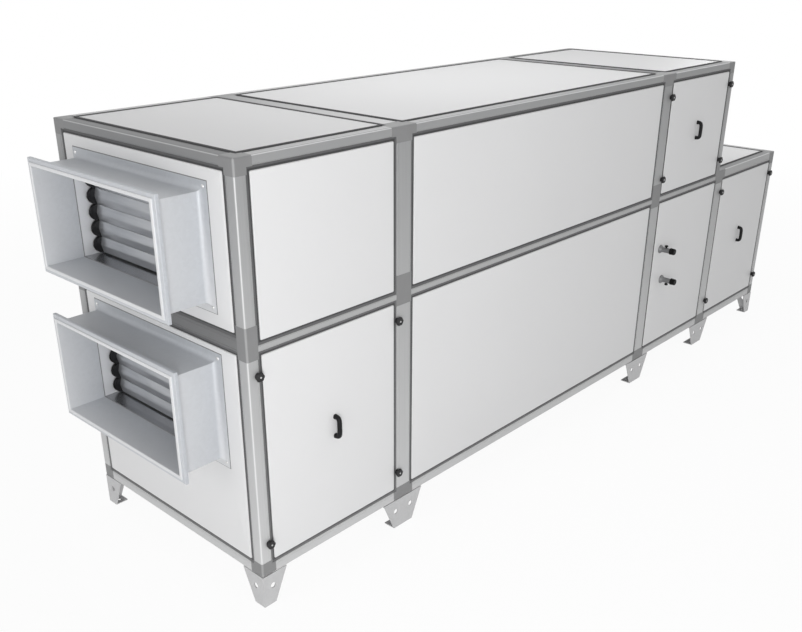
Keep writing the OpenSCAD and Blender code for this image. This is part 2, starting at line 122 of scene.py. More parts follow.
# Name, place, target, size and power
LAMPS = (
    ("key_light", (-5.0, -4.3, 1.4), (-1.2, -0.5, 0.8), 2.0, 118),
    ("front_light", (-2.6, -4.6, 1.7), (-1.2, -0.5, 0.8), 2.5, 24),
    ("end_light", (-6.0, 1.0, 1.9), (-2.0, 0.0, 0.7), 3.0, 28),
    ("roof_light", (-0.2, 0.3, 3.4), (-0.2, 0.3, 0.0), 1.8, 20),
    ("low_roof_light", (2.8, 0.0, 2.1), (1.8, 0.0, 1.0), 1.0, 6),
)
# Strength of the world's soft light
SOFT_LIGHT = 0.43
# Half the floor's width, and its tone
FLOOR_REACH, FLOOR_TONE = 60.0, (0.91, 0.91, 0.91, 1)
# Share of plain white in the floor round the unit, the rest being lit and shaded, and how far that reaches
FLOOR_WHITE = 0.94
FLOOR_SHADED = (3.0, 7.0)


# Reading the frame


def span(node):
    """Lowest and highest corner of a node, as arrays."""
    low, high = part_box(node)
    return np.array(low), np.array(high)


def points_of(node):
    """Every point of a node's mesh."""
    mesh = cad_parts[node].data
    points = np.empty(len(mesh.vertices) * 3)
    mesh.vertices.foreach_get("co", points)
    return points.reshape(-1, 3)


def solids(node):
    """Boxes of a node's separate solids. Triangles that meet at an edge of just two of them end up with one
    label, so that solids which only touch along an edge stay apart."""
    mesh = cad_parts[node].data
    points = points_of(node)
    mesh.calc_loop_triangles()
    corners = np.empty(len(mesh.loop_triangles) * 3, int)
    mesh.loop_triangles.foreach_get("vertices", corners)
    place = np.unique(np.round(points, 5), axis=0, return_inverse=True)[1].ravel()
    triangles = place[corners].reshape(-1, 3)
    edges = np.sort(triangles[:, [0, 1, 1, 2, 2, 0]].reshape(-1, 2), axis=1)
    edge, count = np.unique(edges, axis=0, return_inverse=True, return_counts=True)[1:]
    order = np.argsort(edge.ravel(), kind="stable")
    pairs = order[(count == 2)[edge.ravel()[order]]].reshape(-1, 2) // 3
    label = np.arange(len(triangles))
    changed = True
    while changed:
        lowest = label.copy()
        np.minimum.at(lowest, pairs.ravel(), np.repeat(label[pairs].min(axis=1), 2))
        lowest = lowest[lowest]
        changed = bool((lowest != label).any())
        label = lowest
    own = points[corners].reshape(-1, 3, 3)
    return [(own[label == k].min(axis=(0, 1)), own[label == k].max(axis=(0, 1))) for k in np.unique(label)]


CASING_LOW, CASING_HIGH = span("frame_corners")
CASING_MIDDLE = (CASING_LOW + CASING_HIGH) / 2
UPPER_END = max(solids("far_end_panels"), key=lambda b: b[1][2])[1][0]
LOW_ROOF = min(solids("roof_panels"), key=lambda b: b[1][2])[1][2]
# Planes that bound the casing on the low and on the high side of each axis
OUTER_LOW = [[CASING_LOW[0]], [CASING_LOW[1]], [CASING_LOW[2]]]
OUTER_HIGH = [[UPPER_END, CASING_HIGH[0]], [CASING_HIGH[1]], [LOW_ROOF, CASING_HIGH[2]]]
POST_W = min(high[0] - low[0] for low, high in solids("corner_posts"))
SEAL_W = span("floor_panels")[0][1] - CASING_LOW[1] - POST_W
SEAL_FIT = 0.0003
# Thickness of the damper frames' sheet, with a little to spare
FRAME_SHEET = 0.003
SAME = 1e-4


def lies_on(value, planes):
    """True where a coordinate is one of the planes."""
    return any(abs(value - plane) < SAME for plane in planes)


def outward_of(low, high):
    """The thin axis of a panel's box, and -1 or 1 for the side of it that shows."""
    axis = int(np.argmin(high - low))
    return axis, (-1 if lies_on(low[axis], OUTER_LOW[axis]) else 1)


def middle_at(low, high, axis, level):
    """The middle of a box, carried along one axis to a level."""
    point = (low + high) / 2
    point[axis] = level
    return point


# Sizes and colours that a user would change


def length(name, description, default):
    return FloatProperty(name=name, description=description, default=default, unit="LENGTH", precision=4)


def share(name, description, default):
    return FloatProperty(
        name=name, description=description, default=default, subtype="FACTOR", min=0, max=1)


def colour(name, description, default):
    return FloatVectorProperty(name=name, description=description, default=default, subtype="COLOR", size=3)


class UnitSizes(PropertyGroup):
    """Sizes of the details that the finished unit shows."""

    bar_edge: length("Profile rounding", "On the casing's outer edges", 0.008)
    bar_break: length("Profile edge break", "On the profiles' other edges", 0.007)
    groove_in: length("Groove place", "From a profile's inner edge", 0.0105)
    groove_w: length("Groove width", "Along a profile", 0.0016)
    groove_d: length("Groove depth", "Along a profile", 0.0012)
    grooved_from: length("Grooved from", "Least width of a face with grooves", 0.040)
    panel_edge: length("Panel rounding", "On the panels' pressed edges", 0.0035)
    strip_w: length("Edge strip width", "Of the strip next to a panel", 0.007)
    strip_in: length("Edge strip depth", "Below the panel's face", 0.0040)
    lip_in: length("Seal lip depth", "Below the panel's face", 0.0038)
    lip_over: length("Seal lip reach", "Over the profile's rounded edge", 0.0045)
    lip_out: length("Seal lip edge", "Depth of its outer edge below the panel's face", 0.0004)
    roof_bead: length("Roof bead", "Height of the bead round a roof panel", 0.0035)
    seal_back: length("Seal back", "Depth below the panel's face", 0.039)
    spigot_sheet: length("Spigot sheet", "Thickness of the metal", 0.002)
    base_bend: length("Base bend", "From a spigot's wall to its flange on the panel", 0.020)
    front_bend: length("Front bend", "Of a spigot's front flange", 0.0018)
    front_fold: length("Front fold", "Depth of the front flange's folded edge", 0.012)
    front_lip: length("Front lip", "Width of the front flange's raised inner lip", 0.012)
    front_step: length("Front step", "From the flange to its lip", 0.005)
    gasket_w: length("Gasket width", "Round a spigot's flange on the panel", 0.003)
    gasket_h: length("Gasket height", "On the panel", 0.0012)
    seam_w: length("Seam width", "Of the sealant where a damper frame ends", 0.003)
    blade_edge: length("Blade edge", "Thickness of a blade there", 0.003)
    blade_lip: length("Blade lip", "Reach of the thin lip past a blade's edge", 0.0022)
    # Painted light on the rails: highlight on cross rails and edges, shade at the duct end, both along the
    # roof
    cross_rail_highlight: share("Cross rail polish", "On the roof, at the service side", 0.95)
    end_rail_shade: share("End rail dulling", "At the duct end's top, and twice in its middle", 0.3)
    rail_highlight: share("Rail polish", "Of the edges, as a share of that of the posts", 1.0)
    roof_rail_light: share("Roof rail polish", "At the duct end, and dulling at the far end", 0.5)
    # Painted highlight on the spigots' flange on the panel
    base_highlight: share("Base polish", "Of the spigots' flange on the panel", 0.65)
    screw_d: length("Screw head", "Diameter, on the spigots", 0.013)
    knob_lobes: IntProperty(name="Knob lobes", description="Finger grips round a knob", default=6)
    knob_lobe_depth: share("Knob lobe depth", "As a share of the knob's radius", 0.12)
    handle_fullness: FloatProperty(
        name="Handle fullness", description="2 bends it as an ellipse, more makes it squarer", default=4.5)


class UnitColours(PropertyGroup):
    """Base colours of the finishes."""

    panel: colour("Panel", "Powder coat of the panels", (0.78, 0.78, 0.785))
    # Profile paler near the floor as painted light; the polished edge is a painted highlight, the dull
    # metal painted shade
    profile: colour("Profile", "Anodised aluminium at the top of the frame", (0.34, 0.343, 0.347))
    profile_lit_low: colour("Profile, low", "Aluminium near the floor, pale with dust", (0.60, 0.602, 0.605))
    painted_highlight: colour("Polished edge", "Edges of profiles and flanges, rubbed bright", (0.82, 0.82, 0.825))
    end_shade: colour("Dull metal", "Grime that dulls the duct end's rails", (0.06, 0.06, 0.062))
    corner: colour("Corner piece", "Moulded corner pieces", (0.238, 0.239, 0.241))
    # Strip and lip darker at the top as painted shade and paler near the floor as painted light
    strip: colour("Edge strip", "Strip next to the upright panels, at the top", (0.045, 0.045, 0.047))
    strip_lit_low: colour("Edge strip, low", "Strip near the floor, pale with dust", (0.09, 0.09, 0.092))
    lip: colour("Seal lip", "Lip next to the profiles, at the top", (0.10, 0.10, 0.102))
    lip_lit_low: colour("Seal lip, low", "Lip near the floor, pale with dust", (0.17, 0.17, 0.173))
    bead: colour("Roof bead", "Rubber bead round the roof panels", (0.100, 0.100, 0.102))
    black: colour("Black moulding", "Handles and gear wheels", (0.008, 0.008, 0.009))
    knob: colour("Knob", "Clamp knobs, greyed by hands", (0.020, 0.020, 0.021))
    cap: colour("Pipe cap", "Caps and plugs of the coil pipes", (0.005, 0.005, 0.005))
    zinc: colour("Galvanised sheet", "Spigots", (0.535, 0.555, 0.585))
    damper: colour("Damper frame", "Damper frames inside the spigots", (0.72, 0.73, 0.75))
    # Damper floors darker: painted shade
    damper_floor_shade: colour("Damper floor", "Damper frames' floors, dark and smooth", (0.40, 0.405, 0.42))
    sealant: colour("Sealant", "Bead where a damper frame ends in its spigot", (0.24, 0.24, 0.245))
    foot: colour("Galvanised plate", "Feet", (0.56, 0.56, 0.565))
    blade: colour("Blade", "Extruded damper blades", (0.42, 0.43, 0.45))
    pipe: colour("Pipe", "Steel of the coil pipes", (0.20, 0.202, 0.206))
    bright: colour("Bright steel", "Screws", (0.72, 0.72, 0.72))
    stud: colour("Stud", "Studs in the knobs", (0.55, 0.55, 0.55))


# Surfaces: every shape is a stack of rings of points


def linked(name, data):
    """A new object in the scene."""
    obj = bpy.data.objects.new(name, data)
    bpy.context.scene.collection.objects.link(obj)
    return obj


class Surface:
    """Closed shapes gathered into one mesh, with a map of metres around and along each of them and with
    the share of painted light at each point: a painted highlight over 0 and painted shade under 0."""

    def __init__(self):
        self.points, self.faces, self.caps, self.maps, self.polish, self.count = [], [], [], [], [], 0

    def add(self, rings, loop=False, polish=0.0):
        """Join rings[i, j] to its neighbours in both directions, j always round. A loop joins the last
        ring to the first, and any other stack is closed by a flat face at both ends. Where the enclosed
        volume comes out negative the faces are turned over."""
        count, around = rings.shape[:2]
        i, j = np.meshgrid(np.arange(count if loop else count - 1), np.arange(around), indexing="ij")
        row, next_row, next_j = i * around, (i + 1) % count * around, (j + 1) % around
        quads = np.stack([row + j, row + next_j, next_row + next_j, next_row + j], -1).reshape(-1, 4)
        ends = [] if loop else [np.arange(around)[::-1], np.arange(around) + (count - 1) * around]
        points = rings.reshape(-1, 3)
        middle = points.mean(axis=0)
        a, b, c, d = (points[quads[:, k]] - middle for k in range(4))
        volume = np.einsum("ij,ij->", np.cross(a, b), c) + np.einsum("ij,ij->", np.cross(a, c), d)
        for end in ends:
            fan = points[end] - middle
            first = np.broadcast_to(fan[0], fan[1:-1].shape)
            volume += np.einsum("ij,ij->", np.cross(first, fan[1:-1]), fan[2:])
        if volume < 0:
            quads, ends = quads[:, ::-1], [end[::-1] for end in ends]
        step_j = np.linalg.norm(np.roll(rings, -1, axis=1) - rings, axis=2).mean(axis=0)
        step_i = np.linalg.norm(np.diff(rings, axis=0), axis=2).mean(axis=1)
        run_j = np.concatenate([[0], np.cumsum(step_j)[:-1]])
        run_i = np.concatenate([[0], np.cumsum(step_i)])
        self.maps.append(np.stack(np.broadcast_arrays(run_j[None, :], run_i[:, None]), -1).reshape(-1, 2))
        self.polish.append(np.broadcast_to(polish, rings.shape[:2]).ravel())
        self.points.append(points)
        self.faces.append(quads + self.count)
        self.caps.extend((end + self.count).tolist() for end in ends)
        self.count += len(points)

    def piece(self, name, material, slot, nodes=(), body=CASING, sharp=38):
        """Make the mesh, link it, and tie it to its body and the nodes that it stands for. The slot is not
        used.
        """
        mesh = bpy.data.meshes.new(name)
        faces = np.concatenate(self.faces).tolist() + self.caps
        mesh.from_pydata(np.concatenate(self.points), [], faces)
        mesh.shade_smooth()
        mesh.set_sharp_from_angle(angle=math.radians(sharp))
        corners = np.empty(len(mesh.loops), int)
        mesh.loops.foreach_get("vertex_index", corners)
        run = mesh.uv_layers.new(name="run")
        run.uv.foreach_set("vector", np.concatenate(self.maps)[corners].ravel())
        # Painted light for the finishes: a painted highlight over 0, painted shade under 0
        polish = mesh.attributes.new("polish", "FLOAT", "POINT")
        polish.data.foreach_set("value", np.concatenate(self.polish))
        mesh.materials.append(material)
        obj = linked(name, mesh)
        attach(obj, body)
        if nodes:
            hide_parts(*nodes)


def arc(centre, radius, start, end, count):
    """Points on a circle from one angle to another, both included."""
    angle = np.linspace(start, end, count)
    return np.array(centre) + radius * np.stack([np.cos(angle), np.sin(angle)], -1)


def rounded_box(low, high, radius, count=4):
    """A rectangle with arcs at its corners, anticlockwise from the low corner: count points each."""
    (x0, y0), (x1, y1) = low, high
    turns = [(x0, y0, 1, 1), (x1, y0, -1, 1), (x1, y1, -1, -1), (x0, y1, 1, -1)]
    arcs = []
    for k, (x, y, sx, sy) in enumerate(turns):
        start, end = (math.pi * (turn + k / 2) for turn in (1, 1.5))
        arcs.append(arc((x + sx * radius, y + sy * radius), radius, start, end, count))
    return np.concatenate(arcs)


def in_space(plane, depth, axes):
    """Points of a plane carried to a depth: axes names the plane's two axes, then the depth's."""
    points = np.empty(plane.shape[:-1] + (3,))
    points[..., axes[0]] = plane[..., 0]
    points[..., axes[1]] = plane[..., 1]
    points[..., axes[2]] = depth
    return points


def plane_axes(axis):
    """The two axes across an axis, and the axis itself."""
    return [k for k in range(3) if k != axis] + [axis]


def carried_round(low, high, section, axes, corner=STRIP_CORNER, count=2):
    """A section carried round a rectangle: each of its pairs is a distance out from the rectangle and a
    depth, and becomes a rectangle of that size at that depth."""
    return np.stack([in_space(rounded_box(low - out, high + out, corner, count), depth, axes)
                     for out, depth in section])


def bar_section(low, high, shown, sizes):
    """Outline of a profile and the painted highlight along it: a rectangle whose corners between two shown
    sides are wider arcs and whose shown sides have a groove beside each other corner. The painted highlight
    is a power of the sine of the way round a wide arc. Side k leaves corner k, anticlockwise from the low
    corner."""
    rounded = [shown[k] and shown[k - 1] for k in range(4)]
    corners = np.array([low, (high[0], low[1]), high, (low[0], high[1])])
    along = np.array([(1, 0), (0, 1), (-1, 0), (0, -1)])
    half, deep = sizes.groove_w / 2, sizes.groove_d
    steps = np.array([(-half, 0), (-half * 0.6, deep), (half * 0.6, deep), (half, 0)])
    outline, polish = [], []
    for k in range(4):
        inward = along[k] - along[k - 1]
        radius, count = (sizes.bar_edge, OUTER_STEPS) if rounded[k] else (sizes.bar_break, INNER_STEPS)
        turn = math.pi * (1 + k / 2)
        outline.append(arc(corners[k] + inward * radius, radius, turn, turn + math.pi / 2, count))
        polish.append(rounded[k] * np.sin(np.linspace(0, math.pi, count)) ** HIGHLIGHT_POWER)
        side = np.linalg.norm(corners[(k + 1) % 4] - corners[k])
        if not shown[k] or side < sizes.grooved_from:
            continue
        square = [not rounded[k], not rounded[(k + 1) % 4]]
        for place in np.array([sizes.groove_in, side - sizes.groove_in])[square]:
            across = np.outer(steps[:, 1], along[(k + 1) % 4])
            outline.append(corners[k] + np.outer(place + steps[:, 0], along[k]) + across)
            polish.append(np.zeros(len(steps)))
    return np.concatenate(outline), np.concatenate(polish)


def painted_roof_light(x):
    """Painted light on the roof's metal: highlight (1) at the duct end, shade (-1) at the far end."""
    way = (x - CASING_LOW[0]) / (CASING_HIGH[0] - CASING_LOW[0])
    return np.clip(ROOF_PAINTED_LIGHT_START - ROOF_PAINTED_LIGHT_FALL * way, -1, 1)


def bar(surface, low, high, sizes):
    """A frame profile: its outline carried straight along the box's longest axis. The duct end's rails get
    painted shade, which is painted light under 0. The rails that cross the roof get a painted highlight all
    over, most of all at the service side, and those along it get painted light on top."""
    axis = int(np.argmax(high - low))
    u, v, _ = axes = plane_axes(axis)
    at_low = [lies_on(low[k], OUTER_LOW[k]) for k in (u, v)]
    at_high = [lies_on(high[k], OUTER_HIGH[k]) for k in (u, v)]
    shown = [at_low[1], at_high[0], at_high[1], at_low[0]]
    outline, polish = bar_section(low[[u, v]], high[[u, v]], shown, sizes)
    ends = np.stack([in_space(outline, low[axis], axes), in_space(outline, high[axis], axes)])
    polish = np.stack([polish, polish]) * (1 if axis == 2 else sizes.rail_highlight)
    # Painted shade on the duct end's rails, painted highlight on the cross rails, painted light on the roof
    # rails
    if axis == 1 and at_low[0]:
        polish = polish - sizes.end_rail_shade * (at_high[1] if at_low[1] or at_high[1] else 2)
    elif axis == 1 and not at_high[0]:
        forward = (CASING_HIGH[1] - ends[..., 1]) / (CASING_HIGH[1] - CASING_LOW[1])
        polish = sizes.cross_rail_highlight * forward * painted_roof_light(ends[..., 0])
    elif axis == 0 and at_high[1]:
        on_top = ends[..., 2] > high[2] - SAME
        polish = np.where(on_top, sizes.roof_rail_light * painted_roof_light(ends[..., 0]), polish)
    surface.add(ends, polish=polish)


def tray(surface, low, high, edge, hole=None):
    """A pressed panel: the rectangle's outline carried from the back up its side, round the edge by a
    quarter circle, and on to the flat face or to a rectangular hole right through it."""
    axis, outward = outward_of(low, high)
    axes = plane_axes(axis)
    flat = axes[:2]
    face, back = (low[axis], high[axis]) if outward < 0 else (high[axis], low[axis])
    turn = np.linspace(0, math.pi / 2, PRESSED_STEPS)
    insets = np.concatenate([[0], edge * (1 - np.cos(turn))])
    levels = np.concatenate([[back], face - outward * edge * (1 - np.sin(turn))])
    rings = [in_space(rounded_box(low[flat] + inset, high[flat] - inset, edge * 1.5 - inset), level, axes)
             for inset, level in zip(insets, levels)]
    if hole is not None:
        rim = rounded_box(hole[0][flat], hole[1][flat], edge)
        rings += [in_space(rim, level, axes) for level in (face, back)]
    surface.add(np.stack(rings), loop=hole is not None)


def edge_ring(surface, low, high, section):
    """A strip round a panel: section gives pairs of distance from the panel's edge and depth below its
    face."""
    axis, outward = outward_of(low, high)
    axes = plane_axes(axis)
    flat = axes[:2]
    face = low[axis] if outward < 0 else high[axis]
    levels = [(out, face - outward * depth) for out, depth in section]
    surface.add(carried_round(low[flat], high[flat], levels, axes), loop=True)


def lathe(surface, centre, axis, outline, sides, r=1, h=1, lobes=0, depth=0.0):
    """A turned shape: rows of radius and height, in units of r and h, spun about an axis direction (+1 to
    +3 or -1 to -3 for x to z). With lobes the radius falls by depth, times the row's third number, times a
    cosine of the angle."""
    index, sign = abs(axis) - 1, math.copysign(1, axis)
    axes = plane_axes(index)
    angle = np.linspace(0, 2 * math.pi, sides, endpoint=False)
    radius, height, grip = np.array([row if len(row) == 3 else (*row, 0) for row in outline]).T
    wave = 1 - depth * grip[:, None] * (0.5 - 0.5 * np.cos(lobes * angle))[None, :]
    spread = r * radius[:, None] * wave
    flat = np.stack([spread * np.cos(angle), spread * np.sin(angle)], -1) + np.array(centre)[axes[:2]]
    surface.add(in_space(flat, centre[index] + sign * h * height[:, None], axes))


def bent(points, radii):
    """A polyline whose inner corners are arcs: each corner is replaced by an arc of its own radius that
    touches both of its sides."""
    path = [points[:1]]
    for before, corner, after, radius in zip(points[:-2], points[1:-1], points[2:], radii):
        back = (before - corner) / np.linalg.norm(before - corner)
        ahead = (after - corner) / np.linalg.norm(after - corner)
        half = math.acos(np.clip(back @ ahead, -1, 1)) / 2
        middle = (back + ahead) / np.linalg.norm(back + ahead)
        centre = corner + middle * radius / math.sin(half)
        first = corner + back * radius / math.tan(half) - centre
        last = corner + ahead * radius / math.tan(half) - centre
        t = np.linspace(0, 1, BEND_STEPS)[:, None]
        sweep = math.pi - 2 * half
        path.append(centre + (np.sin((1 - t) * sweep) * first + np.sin(t * sweep) * last) / math.sin(sweep))
    return np.concatenate(path + [points[-1:]])


def thick(path, thickness):
    """A closed outline round a path: the path moved half a thickness to one side, and back on the other."""
    along = np.gradient(path, axis=0)
    across = np.stack([-along[:, 1], along[:, 0]], -1)
    across *= thickness / 2 / np.linalg.norm(across, axis=1, keepdims=True)
    return np.concatenate([path + across, (path - across)[::-1]])


def powered(wave, exponent):
    """A wave's size raised to a power, with its sign kept: what makes an ellipse a superellipse."""
    return np.sign(wave) * np.abs(wave) ** exponent


# Finishes


class Value:
    """An output socket of a finish. Arithmetic on values adds Math nodes."""

    def __init__(self, finish, socket):
        self.finish, self.socket = finish, socket

    def math(self, operation, a, b):
        return self.finish.node("ShaderNodeMath", {"operation": operation}, {0: a, 1: b})

    def __add__(self, other):
        return self.math("ADD", self, other)

    def __radd__(self, other):
        return self.math("ADD", other, self)

    def __sub__(self, other):
        return self.math("SUBTRACT", self, other)

    def __mul__(self, other):
        return self.math("MULTIPLY", self, other)

    def __rmul__(self, other):
        return self.math("MULTIPLY", other, self)


class Nodes:
    """A tree of shader nodes under construction."""

    def __init__(self, tree):
        self.tree = tree
        tree.nodes.clear()

    def node(self, kind, settings=None, inputs=None, output=0):
        """Add a node: its settings first, then the values or links of its sockets."""
        node = self.tree.nodes.new(kind)
        for key, value in (settings or {}).items():
            setattr(node, key, value)
        for key, value in (inputs or {}).items():
            if isinstance(value, Value):
                self.tree.links.new(value.socket, node.inputs[key])
            else:
                node.inputs[key].default_value = value
        return Value(self, node.outputs[output]) if node.outputs else None

    def seen_as_white(self):
        """1 for a ray from the camera, from a mirror or through glass, and 0 for any other ray."""
        rays = ("Is Camera Ray", "Is Glossy Ray", "Is Transmission Ray")
        camera, mirror, glass = (self.node("ShaderNodeLightPath", output=ray) for ray in rays)
        return camera + mirror + glass


class Finish(Nodes):
    """A procedural material under construction."""

    def __init__(self, name):
        self.material = bpy.data.materials.new(name)
        self.material.use_nodes = True
        super().__init__(self.material.node_tree)

    def place(self, scale=(1, 1, 1)):
        """Where a point lies on the object, in metres, stretched by scale."""
        spot = self.node("ShaderNodeTexCoord", output="Object")
        return self.node("ShaderNodeMapping", None, {"Vector": spot, "Scale": scale})

    def run(self, scale):
        """Metres around and along a new piece, stretched by scale."""
        spot = self.node("ShaderNodeUVMap", {"uv_map": "run"})
        return self.node("ShaderNodeMapping", None, {"Vector": spot, "Scale": scale})

    def vector(self, operation, a, b=(0, 0, 0), output=0):
        return self.node("ShaderNodeVectorMath", {"operation": operation}, {0: a, 1: b}, output)

    def split(self, vector, axes):
        """The parts of a vector along the axes that are named."""
        return [self.node("ShaderNodeSeparateXYZ", None, {0: vector}, axis) for axis in axes]

    def ramp(self, value, start, end):
        """0 at or before the start and 1 at or past the end, straight in between."""
        return self.node("ShaderNodeMapRange", None, {"Value": value, "From Min": start, "From Max": end})

    def height(self):
        """0 at the casing's underside and 1 at its top."""
        [z] = self.split(self.place(), "Z")
        return self.ramp(z, float(CASING_LOW[2]), float(CASING_HIGH[2]))

    def polish(self):
        """The share of painted light, highlight over 0 and shade under 0, that a new piece carries at each
        point.
        """
        return self.node("ShaderNodeAttribute", {"attribute_name": "polish"}, output="Fac")

    def noise(self, scale, detail, where=None):
        """Noise over the object, or over other coordinates."""
        inputs = {"Vector": where or self.place(), "Scale": scale, "Detail": detail}
        return self.node("ShaderNodeTexNoise", None, inputs)

    def between(self, factor, a, b):
        """A colour between two others. Sockets 6, 7 and 2 are the node's colours."""
        return self.node("ShaderNodeMix", {"data_type": "RGBA"}, {0: factor, 6: a, 7: b}, output=2)

    def shades(self, factor, rgb, spread):
        """A colour that goes from darker to lighter than rgb by spread as factor goes from 0 to 1."""
        dark, light = ((*(c * (1 + way * spread) for c in rgb), 1) for way in (-1, 1))
        return self.between(factor, dark, light)

    def surface(self, colour, roughness, height=None, depth=0.0, **constants):
        """Close the finish with one shader: what varies goes to colour, roughness and a bump."""
        inputs = {"Base Color": colour, "Roughness": roughness}
        if height is not None:
            inputs["Normal"] = self.node("ShaderNodeBump", None, {"Height": height, "Distance": depth})
        inputs.update({key.replace("_", " "): value for key, value in constants.items()})
        shader = self.node("ShaderNodeBsdfPrincipled", None, inputs)
        self.node("ShaderNodeOutputMaterial", None, {0: shader})
        return self.material


def rgba(rgb):
    return (*rgb, 1)


def powder_coat(colours):
    """Panels: matt white powder coat with a fine orange peel and a hardly visible change of tone."""
    f = Finish("powder_coat")
    peel = f.noise(420, 3)
    tone = f.noise(1.3, 2)
    return f.surface(f.shades(tone, colours.panel, 0.018), 0.42 + 0.12 * peel, peel, 0.00025)


def anodised(colours):
    """Frame profiles: drawn aluminium with streaks along the profile, paler towards the floor as painted
    light, with a painted highlight on its edges, and painted shade where the painted light is under 0."""
    f = Finish("anodised_aluminium")
    streak = f.noise(1.0, 4, f.run((260, 1.2, 1)))
    tone = 0.75 * streak + 0.25 * f.noise(5, 3)
    high_tone = f.shades(tone, colours.profile, 0.14)
    lit_low = f.shades(tone, colours.profile_lit_low, 0.10)
    # Painted highlight where the painted light is over 0, painted shade where it is under 0
    painted_light_share = f.polish()
    painted_shade_share = f.ramp(painted_light_share, 0, -1)
    plain = f.between(painted_shade_share, f.between(f.height(), lit_low, high_tone), rgba(colours.end_shade))
    metal = f.between(0.85 * painted_light_share, plain, rgba(colours.painted_highlight))
    rough = 0.40 + 0.20 * streak - 0.16 * painted_light_share
    return f.surface(metal, rough, streak, 0.0001, Metallic=0.1, Specular_IOR_Level=0.25)


def moulded_grey(colours, sizes):
    """Corner pieces: grey moulding with a fine spark-eroded texture, with a painted highlight on the
    casing's upright edges and a little on top. The way in from the casing's planes is added up for the two
    sides: on an upright edge's rounding that is less than its radius."""
    f = Finish("moulded_grey")
    grain = f.noise(900, 3)
    cloud = f.noise(18, 3)
    away = f.vector("ABSOLUTE", f.vector("SUBTRACT", f.place(), tuple(CASING_MIDDLE)))
    x, y, z = f.split(f.vector("SUBTRACT", tuple(CASING_HIGH - CASING_MIDDLE), away), "XYZ")
    round_r = sizes.bar_edge
    edge = f.ramp(x + y, 0.9 * round_r, 0.6 * round_r)
    top = f.ramp(z, 0.3 * round_r, 0)
    # Painted highlight on the upright edges and the top
    painted_light_share = 0.15 * edge + 0.15 * top
    tone = f.between(painted_light_share, f.shades(cloud, colours.corner, 0.07), rgba(colours.painted_highlight))
    return f.surface(tone, 0.46 + 0.16 * grain, grain, 0.0002)


def rubber(name, main_rgb, lit_low=None):
    """Seals and sealant: matt rubber with a little dust in its tone, and, where a second colour is given,
    paler towards the floor as painted light and darker at the top as painted shade."""
    f = Finish(name)
    dust = f.noise(60, 4)
    tone = f.shades(dust, main_rgb, 0.22)
    # Paler towards the floor and darker at the top: painted light and shade of the recesses
    if lit_low is not None:
        tone = f.between(f.height(), f.shades(dust, lit_low, 0.22), tone)
    return f.surface(tone, 0.62 + 0.18 * dust, dust, 0.0002)


def black_moulding(name, rgb, shine):
    """Handles, knobs, caps and gear wheels: black glass-filled plastic, slightly polished by hands."""
    f = Finish(name)
    grain = f.noise(700, 3)
    wear = f.noise(45, 3)
    return f.surface(f.shades(wear, rgb, 0.35), 0.40 + 0.20 * wear, grain, 0.00015,
                     Specular_IOR_Level=shine)


def galvanised(name, rgb, colours, metallic):
    """Zinc-coated sheet: flat crystals that each catch the light a little differently, faint runs, and a
    painted highlight where the piece carries painted light."""
    f = Finish(name)
    crystal = f.node("ShaderNodeTexVoronoi", None, {"Vector": f.place(), "Scale": 95.0}, output="Color")
    flake = f.node("ShaderNodeSeparateColor", None, {"Color": crystal})
    cloud = f.noise(4, 4)
    plain = f.shades(0.45 * flake + 0.55 * cloud, rgb, 0.06)
    tone = f.between(f.polish(), plain, rgba(colours.painted_highlight))
    return f.surface(tone, 0.38 + 0.14 * flake, cloud, 0.0003, Metallic=metallic, Specular_IOR_Level=0.3)


def damper_sheet(colours):
    """Damper frames: zinc-coated sheet whose two floors are darker as painted shade, and smoother."""
    f = Finish("galvanised_frame")
    cloud = f.noise(9, 4)
    [z] = f.split(f.place(), "Z")
    levels = [float(low[2]) for low, _ in solids("damper_frames")]
    # Mask of the two floors, which get painted shade
    lower, upper = (f.node("ShaderNodeMath", {"operation": "COMPARE"}, {0: z, 1: level, 2: FRAME_SHEET})
                    for level in levels)
    floor = lower + upper
    wall, base = f.shades(cloud, colours.damper, 0.05), f.shades(cloud, colours.damper_floor_shade, 0.12)
    return f.surface(f.between(floor, wall, base), 0.42 + 0.08 * cloud - 0.24 * floor,
                     Metallic=0.2 + 0.6 * floor, Specular_IOR_Level=0.3)


def extruded_blade(colours):
    """Damper blades: extruded aluminium with faint die lines along the blade and patches where it is
    rubbed."""
    f = Finish("extruded_blade")
    line = f.noise(1.0, 2, f.place((120, 1, 120)))
    patch = f.noise(1.0, 2, f.place((55, 9, 55)))
    tone = f.shades(0.3 * line + 0.7 * patch, colours.blade, 0.22)
    return f.surface(tone, 0.26 + 0.10 * patch, Metallic=0.7)


def steel(name, rgb, metallic, rough):
    """Turned steel: fine rings of tone and roughness."""
    f = Finish(name)
    ring = f.noise(1.0, 2, f.run((40, 900, 1)))
    return f.surface(f.shades(ring, rgb, 0.12), rough + 0.16 * ring, ring, 0.0001, Metallic=metallic)


def white_floor():
    """Stage: a pale floor that the camera sees as white but for the unit's soft shadow."""
    f = Finish("white_floor")
    matt = f.node("ShaderNodeBsdfDiffuse", None, {"Color": FLOOR_TONE})
    glow = f.node("ShaderNodeEmission", None, {"Strength": 1.0})
    away = f.vector("LENGTH", f.place(), output="Value")
    white = FLOOR_WHITE + (1 - FLOOR_WHITE) * f.ramp(away, *FLOOR_SHADED)
    seen = f.node("ShaderNodeMixShader", None, {0: white * f.seen_as_white(), 1: matt, 2: glow})
    f.node("ShaderNodeOutputMaterial", None, {0: seen})
    return f.material


def dress(node, material):
    """Give a node of the frame its finish."""
    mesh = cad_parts[node].data
    mesh.materials.clear()
    mesh.materials.append(material)


# Operators


class Builder:
    """What the operators share: the scene's sizes and colours."""

    bl_options = {"REGISTER"}

    @property
    def sizes(self):
        return bpy.context.scene.air_unit_sizes

    @property
    def colours(self):
        return bpy.context.scene.air_unit_colours


